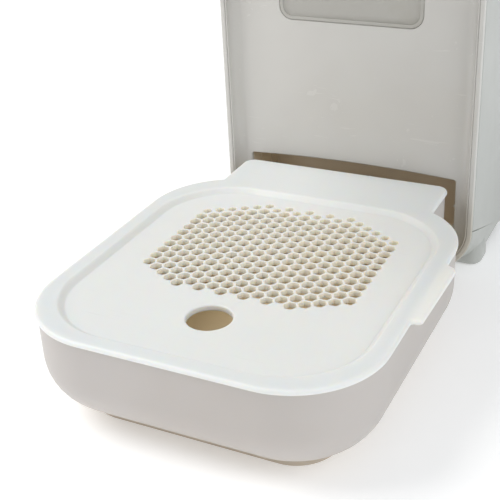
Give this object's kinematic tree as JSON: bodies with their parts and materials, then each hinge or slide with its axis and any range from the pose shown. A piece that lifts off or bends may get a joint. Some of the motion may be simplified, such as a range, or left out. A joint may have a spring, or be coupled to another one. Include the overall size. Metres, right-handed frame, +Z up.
{
  "type": "formula dispenser",
  "caption": "Countertop infant formula maker: column and overhanging head with water tank, powder hopper and mixing funnel, over a pull-out waste water tray with a perforated cover.",
  "frame": {"origin": "middle of the overall footprint, on the table, with the tray drawn out", "axes": "+X to the right seen from the front, +Y from the tray into the machine, +Z up"},
  "size_m": [0.187, 0.3878, 0.35],
  "materials": {
    "white_plastic": "fine satin moulded ABS, warm white",
    "shell_plastic": "semi-gloss moulded ABS, cool white",
    "panel_plastic": "gloss moulded ABS, warm white",
    "foot_plastic": "light grey moulded rubber",
    "dock_plastic": "brown moulded polypropylene",
    "grey_plastic": "grey moulded nylon",
    "clear_plastic": "clear moulded copolyester",
    "black_gloss": "gloss black",
    "steel": "brushed stainless steel",
    "silicone": "translucent white silicone",
    "board_green": "coated circuit board"
  },
  "bodies": {
    "machine": {"base_pan": "shell_plastic", "foot_front_left": "foot_plastic", "foot_front_right": "foot_plastic", "foot_rear_left": "foot_plastic", "foot_rear_right": "foot_plastic", "dock_screw_1": "steel", "dock_screw_2": "steel", "dock_screw_3": "steel", "dock_screw_4": "steel", "front_bezel": "shell_plastic", "front_panel": "panel_plastic", "tray_dock": "dock_plastic", "guard_pocket": "grey_plastic", "splash_guard": "clear_plastic", "tray_switch": "grey_plastic", "left_side_shell": "shell_plastic", "right_side_shell": "shell_plastic", "rear_cover": "shell_plastic", "head_fascia": "panel_plastic", "display_window": "black_gloss", "control_board": "board_green", "head_underside": "panel_plastic", "top_deck": "shell_plastic", "dosing_housing": "grey_plastic", "dosing_motor": "steel", "powder_chute": "white_plastic", "water_jet_ring": "steel", "tank_dock": "grey_plastic", "water_heater": "steel", "water_pump": "grey_plastic", "hose_tank_pump": "silicone", "hose_pump_heater": "silicone", "hose_heater_jet": "silicone", "power_supply": "grey_plastic", "power_inlet": "black_gloss"},
    "tray": {"tray_body": "white_plastic"},
    "cover": {"tray_cover": "white_plastic"},
    "sensor": {"switch_plunger": "silicone"},
    "tank": {"water_tank": "clear_plastic", "tank_seal": "silicone"},
    "tank_top": {"tank_lid": "white_plastic"},
    "valve": {"valve_plunger": "silicone"},
    "hopper": {"powder_hopper": "clear_plastic", "hopper_lid_pin": "steel"},
    "hopper_top": {"hopper_lid": "white_plastic"},
    "stirrer": {"agitator": "white_plastic"},
    "wheel": {"dosing_wheel": "white_plastic"},
    "pinion": {"drive_gear": "steel"},
    "funnel": {"mixing_funnel": "clear_plastic"},
    "power_key": {"power_button": "white_plastic"},
    "water_key": {"water_button": "white_plastic"},
    "temperature_key": {"temperature_button": "white_plastic"},
    "start_key": {"start_button": "white_plastic"}
  },
  "joints": [
    {"name": "tray_slide", "type": "slide", "parent": "machine", "child": "tray", "axis": [0, -1, 0], "range_m": [-0.041, 0]},
    {"name": "cover_lift", "type": "slide", "parent": "tray", "child": "cover", "axis": [0, 0, 1], "range_m": [0, 0.09]},
    {"name": "sensor_press", "type": "slide", "parent": "machine", "child": "sensor", "axis": [0, 1, 0], "range_m": [0, 0.002], "stiffness_N_per_m": 200},
    {"name": "tank_lift", "type": "slide", "parent": "machine", "child": "tank", "axis": [0, 0, 1], "range_m": [0, 0.33]},
    {"name": "tank_lid_lift", "type": "slide", "parent": "tank", "child": "tank_top", "axis": [0, 0, 1], "range_m": [0, 0.06]},
    {"name": "valve_press", "type": "slide", "parent": "tank", "child": "valve", "axis": [0, 0, 1], "range_m": [0, 0.004], "stiffness_N_per_m": 150},
    {"name": "hopper_lift", "type": "slide", "parent": "machine", "child": "hopper", "axis": [0, 0, 1], "range_m": [0, 0.08]},
    {"name": "hopper_lid_hinge", "type": "hinge", "parent": "hopper", "child": "hopper_top", "pos_m": [-0.0035, 0.0539, 0.346], "axis": [-1, 0, 0], "range_deg": [0, 100]},
    {"name": "agitator_spin", "type": "hinge", "parent": "hopper", "child": "stirrer", "pos_m": [-0.0035, -0.0061, 0.29], "axis": [0, 0, 1], "continuous": true},
    {"name": "wheel_spin", "type": "hinge", "parent": "machine", "child": "wheel", "pos_m": [-0.0035, -0.0061, 0.273], "axis": [0, 0, 1], "continuous": true},
    {"name": "pinion_spin", "type": "hinge", "parent": "machine", "child": "pinion", "pos_m": [-0.0035, 0.0479, 0.273], "axis": [0, 0, 1], "continuous": true},
    {"name": "funnel_drop", "type": "slide", "parent": "machine", "child": "funnel", "axis": [0, 0, -1], "range_m": [0, 0.05]},
    {"name": "power_press", "type": "slide", "parent": "machine", "child": "power_key", "axis": [0, 1, 0], "range_m": [0, 0.0012], "stiffness_N_per_m": 800},
    {"name": "water_press", "type": "slide", "parent": "machine", "child": "water_key", "axis": [0, 1, 0], "range_m": [0, 0.0012], "stiffness_N_per_m": 800},
    {"name": "temperature_press", "type": "slide", "parent": "machine", "child": "temperature_key", "axis": [0, 1, 0], "range_m": [0, 0.0012], "stiffness_N_per_m": 800},
    {"name": "start_press", "type": "slide", "parent": "machine", "child": "start_key", "axis": [0, 1, 0], "range_m": [0, 0.0012], "stiffness_N_per_m": 800}
  ],
  "couplings": [
    {"joint": "pinion_spin", "follows": "wheel_spin", "ratio": -4},
    {"joint": "agitator_spin", "follows": "wheel_spin", "ratio": 1}
  ]
}
